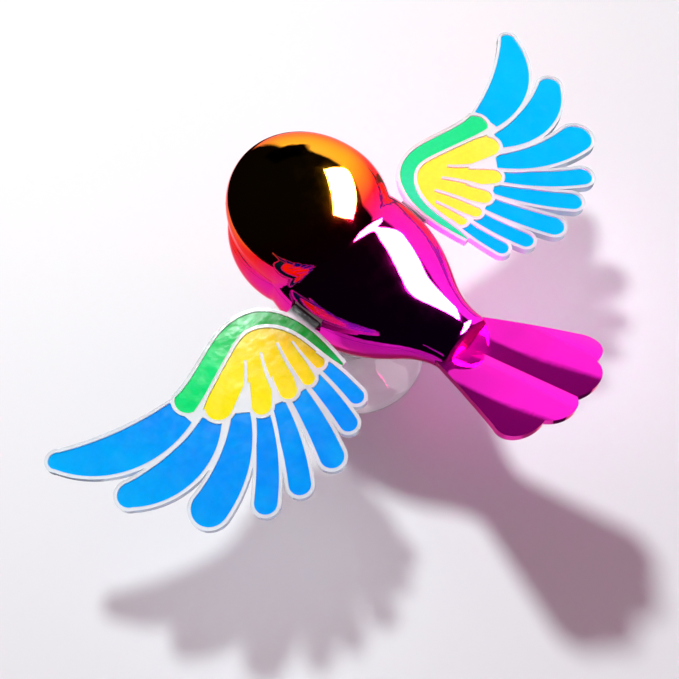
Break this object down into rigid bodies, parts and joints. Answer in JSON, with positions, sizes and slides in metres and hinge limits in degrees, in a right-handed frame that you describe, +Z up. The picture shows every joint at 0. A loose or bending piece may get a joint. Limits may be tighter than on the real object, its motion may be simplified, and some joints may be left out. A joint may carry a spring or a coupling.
{
  "type": "flapping bird ornament",
  "caption": "Mirror-finish bird ornament with clear, coloured wings that flap on hinges, turning on a post that stands on a clear suction cup.",
  "frame": {"origin": "centre of the suction cup's bottom rim, on the surface it stands on", "axes": "+Z up along the mount post, -Y the way the bird faces, +X towards its left wing tip"},
  "size_m": [0.195, 0.1208, 0.0845],
  "materials": {
    "mirror_skin": "vacuum-metallised plastic, gold at the head running through magenta to purple at the tail",
    "clear_plastic": "clear moulded plastic, polished",
    "clear_cup": "clear soft plastic, polished",
    "blue_lacquer": "translucent coloured lacquer",
    "yellow_lacquer": "translucent coloured lacquer",
    "green_lacquer": "translucent coloured lacquer",
    "black_plastic": "matt moulded",
    "beak_gold": "gloss",
    "eye_black": "gloss",
    "steel": "bright plated",
    "magnet_nickel": "nickel plated",
    "winding_copper": "enamelled copper wire",
    "board_green": "solder resist",
    "components": "matt",
    "contact_brass": "plated"
  },
  "bodies": {
    "mount": {"suction_cup": "clear_cup", "mount_post": "clear_plastic", "swivel_washer": "steel", "post_screw": "steel"},
    "bird": {"upper_shell": "mirror_skin", "lower_shell": "mirror_skin", "tail_fan": "mirror_skin", "battery_door": "mirror_skin", "beak": "beak_gold", "eyes": "eye_black", "chassis": "black_plastic", "hinge_pins": "steel", "return_springs": "steel", "coil_bobbin": "black_plastic", "coil_winding": "winding_copper", "circuit_board": "board_green", "board_components": "components", "cell_holder": "black_plastic", "coin_cell": "steel", "cell_contacts": "contact_brass", "door_screw": "steel", "switch_body": "black_plastic", "shell_screws": "steel", "chassis_screws": "steel"},
    "left_wing": {"left_wing_plate": "clear_plastic", "left_blue_fill": "blue_lacquer", "left_yellow_fill": "yellow_lacquer", "left_green_fill": "green_lacquer", "left_wing_hub": "black_plastic", "left_drive_magnet": "magnet_nickel"},
    "right_wing": {"right_wing_plate": "clear_plastic", "right_blue_fill": "blue_lacquer", "right_yellow_fill": "yellow_lacquer", "right_green_fill": "green_lacquer", "right_wing_hub": "black_plastic", "right_drive_magnet": "magnet_nickel"},
    "switch_knob": {"switch_knob": "black_plastic"}
  },
  "joints": [
    {"name": "bird_swivel", "type": "hinge", "parent": "mount", "child": "bird", "pos_m": [0, 0, 0.0324], "axis": [0, 0, 1], "continuous": true},
    {"name": "left_wing_flap", "type": "hinge", "parent": "bird", "child": "left_wing", "pos_m": [0.0172, 0, 0.05665], "axis": [0, -1, 0], "range_deg": [-10, 20], "stiffness_Nm_per_rad": 0.012, "springref_deg": 8.59},
    {"name": "right_wing_flap", "type": "hinge", "parent": "bird", "child": "right_wing", "pos_m": [-0.0172, 0, 0.05665], "axis": [0, 1, 0], "range_deg": [-10, 20], "stiffness_Nm_per_rad": 0.012, "springref_deg": 8.59},
    {"name": "power_switch", "type": "slide", "parent": "bird", "child": "switch_knob", "axis": [1, 0, 0], "range_m": [0, 0.0024]}
  ],
  "couplings": [
    {"joint": "right_wing_flap", "follows": "left_wing_flap", "ratio": 1}
  ]
}
